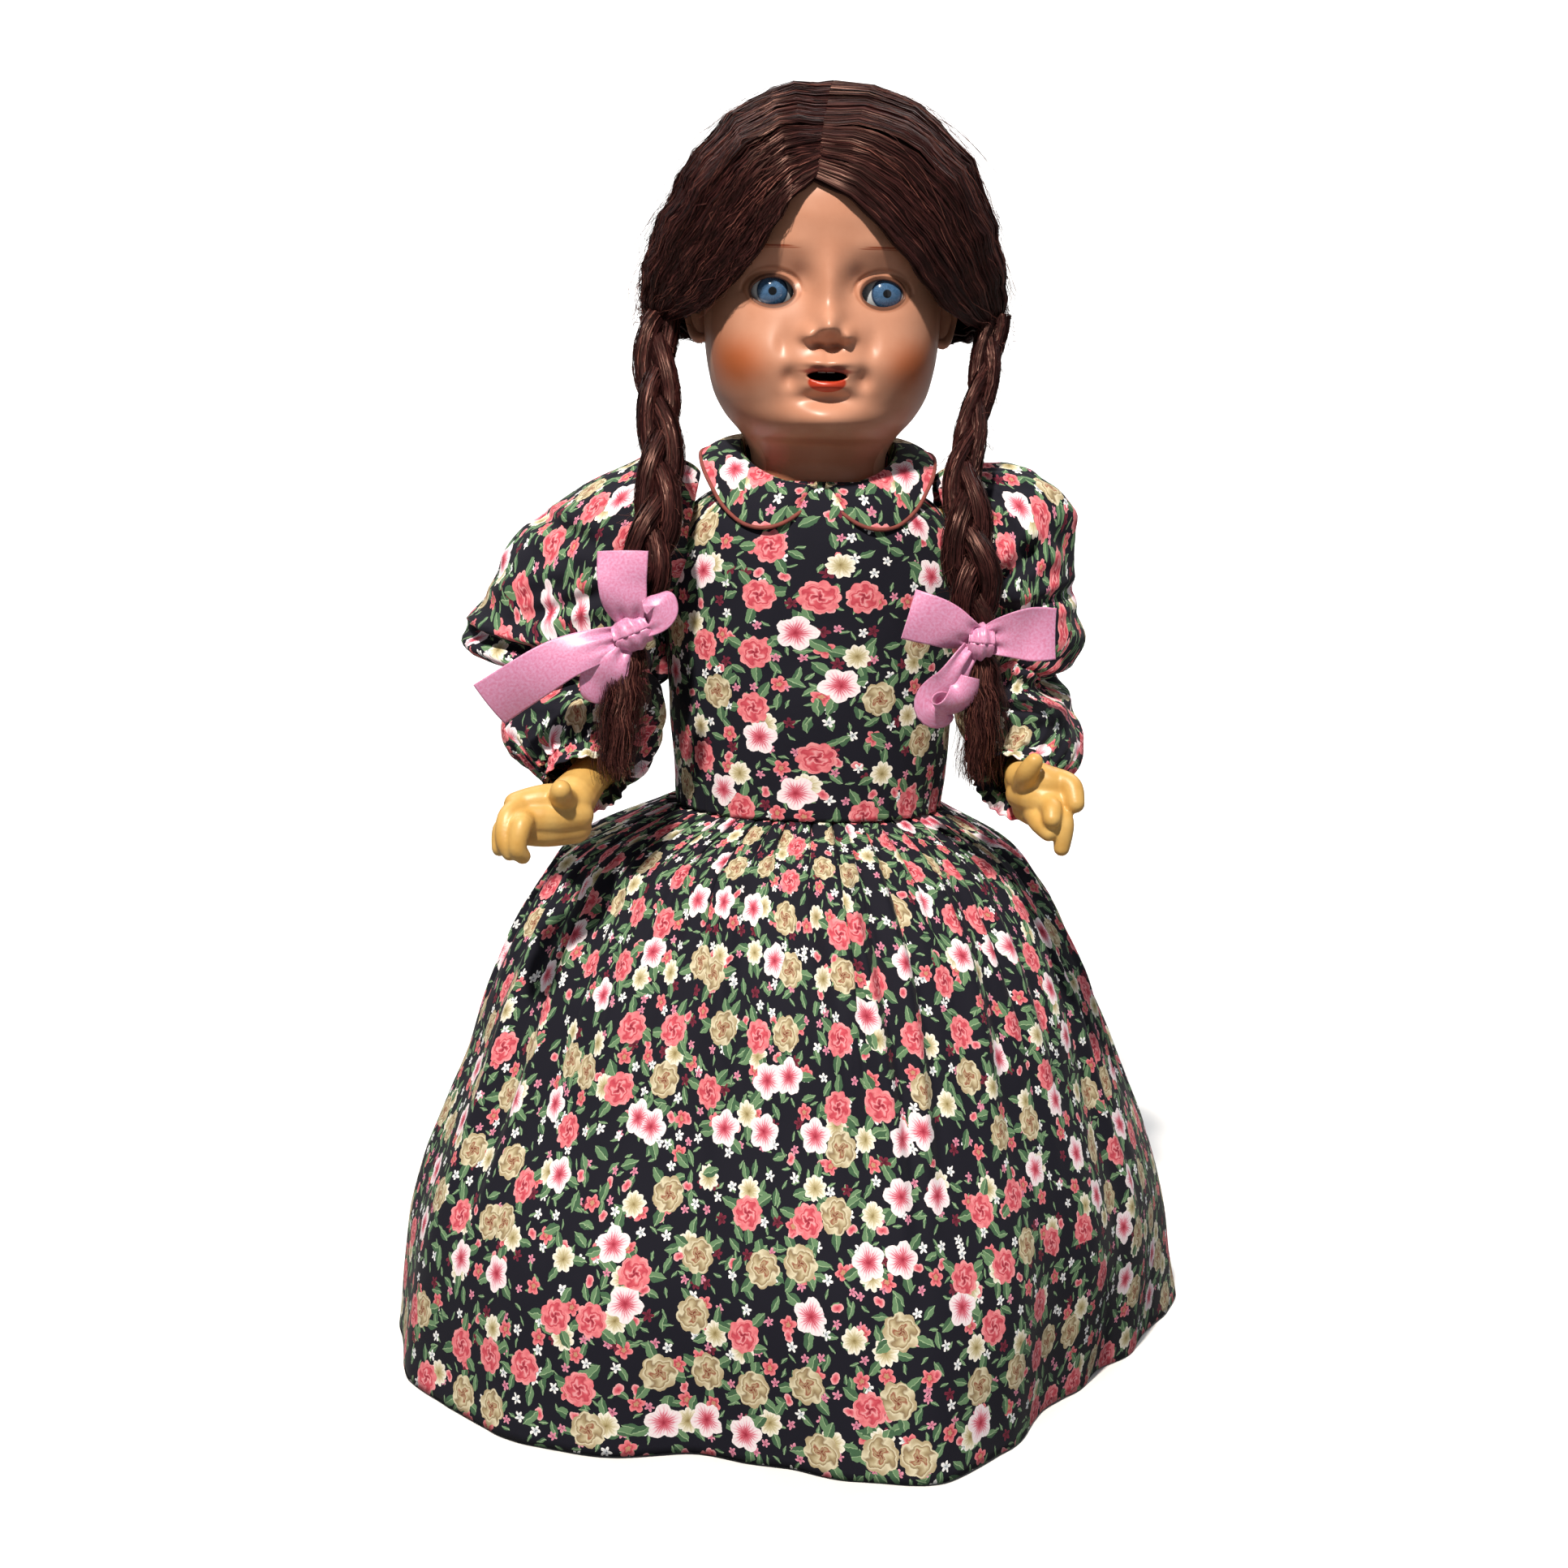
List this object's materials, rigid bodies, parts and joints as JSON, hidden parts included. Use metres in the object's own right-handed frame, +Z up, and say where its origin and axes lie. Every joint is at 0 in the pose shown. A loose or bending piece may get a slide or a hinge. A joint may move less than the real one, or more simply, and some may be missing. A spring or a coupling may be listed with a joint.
{
  "type": "mama doll",
  "caption": "Jointed composition doll with sleep eyes, a tilting voice box, two ribboned plaits, puffed sleeves and a gathered floor-length dress",
  "frame": {"origin": "centre of the bounding box at the level of the soles", "axes": "+Z up through the crown, the doll faces -Y, +X is the doll's own left"},
  "size_m": [0.34, 0.34, 0.52],
  "materials": {
    "face_composition": "pressed composition, flesh-toned and lightly varnished, with painted blush, brows and lips",
    "body_composition": "pressed composition of sawdust and glue, painted ochre and varnished",
    "pasteboard": "rolled and glued pasteboard",
    "hair": "dark auburn hair on a sewn cap, parted and plaited",
    "satin_ribbon": "rose satin ribbon with a soft gleam",
    "teeth": "moulded ivory-white teeth",
    "tongue": "painted red felt and composition",
    "turned_wood": "plain turned beech",
    "steel_wire": "drawn steel wire",
    "eye_glass": "blown white glass, glossy",
    "iris_glass": "blue threaded iris under clear glass",
    "lead": "cast lead",
    "reed_brass": "rolled brass",
    "bellows_leather": "thin glued kid leather",
    "elastic_cord": "covered rubber elastic",
    "printed_cotton": "fine plain-woven cotton with a small scattered flower print on near-black navy",
    "cotton_piping": "corded cotton piping, red-brown",
    "button_shell": "polished pearl shell"
  },
  "bodies": {
    "torso": {"torso_front": "body_composition", "torso_back": "body_composition", "crier_case": "pasteboard", "crier_grille": "pasteboard", "reed_plate": "turned_wood", "brass_reed": "reed_brass", "crier_bellows": "bellows_leather", "arm_elastic": "elastic_cord", "leg_elastic": "elastic_cord", "bodice": "printed_cotton", "skirt": "printed_cotton", "collar_left": "printed_cotton", "collar_right": "printed_cotton", "collar_piping_left": "cotton_piping", "collar_piping_right": "cotton_piping", "back_button_1": "button_shell", "back_button_2": "button_shell", "back_button_3": "button_shell", "back_button_4": "button_shell"},
    "head": {"head_shell": "face_composition", "crown_pate": "pasteboard", "wig": "hair", "plait_left": "hair", "plait_right": "hair", "ribbon_left": "satin_ribbon", "ribbon_right": "satin_ribbon", "upper_teeth": "teeth", "tongue": "tongue", "neck_plug": "turned_wood", "neck_hook": "steel_wire"},
    "eyes": {"eyeball_left": "eye_glass", "eyeball_right": "eye_glass", "iris_left": "iris_glass", "iris_right": "iris_glass", "eye_rocker": "steel_wire", "eye_weight": "lead"},
    "crier_bob": {"crier_weight": "lead"},
    "left_upper_arm": {"upper_arm_left": "body_composition", "arm_hook_left": "steel_wire", "upper_sleeve_left": "printed_cotton"},
    "right_upper_arm": {"upper_arm_right": "body_composition", "arm_hook_right": "steel_wire", "upper_sleeve_right": "printed_cotton"},
    "left_forearm": {"forearm_left": "body_composition", "hand_left": "body_composition", "lower_sleeve_left": "printed_cotton", "cuff_left": "printed_cotton"},
    "right_forearm": {"forearm_right": "body_composition", "hand_right": "body_composition", "lower_sleeve_right": "printed_cotton", "cuff_right": "printed_cotton"},
    "left_thigh": {"thigh_left": "body_composition", "leg_hook_left": "steel_wire"},
    "right_thigh": {"thigh_right": "body_composition", "leg_hook_right": "steel_wire"},
    "left_shin": {"shin_left": "body_composition"},
    "right_shin": {"shin_right": "body_composition"}
  },
  "joints": [
    {"name": "neck_turn", "type": "hinge", "parent": "torso", "child": "head", "pos_m": [0, 0, 0.352], "axis": [0, 0, 1], "range_deg": [-60, 60], "deforming": ["plait_left", "plait_right", "ribbon_left", "ribbon_right", "leg_elastic"]},
    {"name": "eye_rock", "type": "hinge", "parent": "head", "child": "eyes", "pos_m": [0, -0.027, 0.43795], "axis": [1, 0, 0], "range_deg": [0, 66]},
    {"name": "crier_slide", "type": "slide", "parent": "torso", "child": "crier_bob", "axis": [0, -0.9659, 0.2588], "range_m": [0, 0.012], "deforming": ["crier_bellows"]},
    {"name": "shoulder_left", "type": "hinge", "parent": "torso", "child": "left_upper_arm", "pos_m": [0.052, 0, 0.338], "axis": [1, 0, 0], "range_deg": [-90, 50], "deforming": ["upper_sleeve_left", "arm_elastic"]},
    {"name": "shoulder_right", "type": "hinge", "parent": "torso", "child": "right_upper_arm", "pos_m": [-0.052, 0, 0.338], "axis": [1, 0, 0], "range_deg": [-90, 50], "deforming": ["upper_sleeve_right"]},
    {"name": "elbow_left", "type": "hinge", "parent": "left_upper_arm", "child": "left_forearm", "pos_m": [0.105, 0.004, 0.278], "axis": [1, 0, 0], "range_deg": [-20, 35], "deforming": ["lower_sleeve_left"]},
    {"name": "elbow_right", "type": "hinge", "parent": "right_upper_arm", "child": "right_forearm", "pos_m": [-0.105, 0.004, 0.278], "axis": [1, 0, 0], "range_deg": [-20, 35], "deforming": ["lower_sleeve_right"]},
    {"name": "hip_left", "type": "hinge", "parent": "torso", "child": "left_thigh", "pos_m": [0.027, 0, 0.2], "axis": [1, 0, 0], "range_deg": [-22, 12]},
    {"name": "hip_right", "type": "hinge", "parent": "torso", "child": "right_thigh", "pos_m": [-0.027, 0, 0.2], "axis": [1, 0, 0], "range_deg": [-22, 12]},
    {"name": "knee_left", "type": "hinge", "parent": "left_thigh", "child": "left_shin", "pos_m": [0.027, 0, 0.103], "axis": [1, 0, 0], "range_deg": [0, 50]},
    {"name": "knee_right", "type": "hinge", "parent": "right_thigh", "child": "right_shin", "pos_m": [-0.027, 0, 0.103], "axis": [1, 0, 0], "range_deg": [0, 50]}
  ]
}
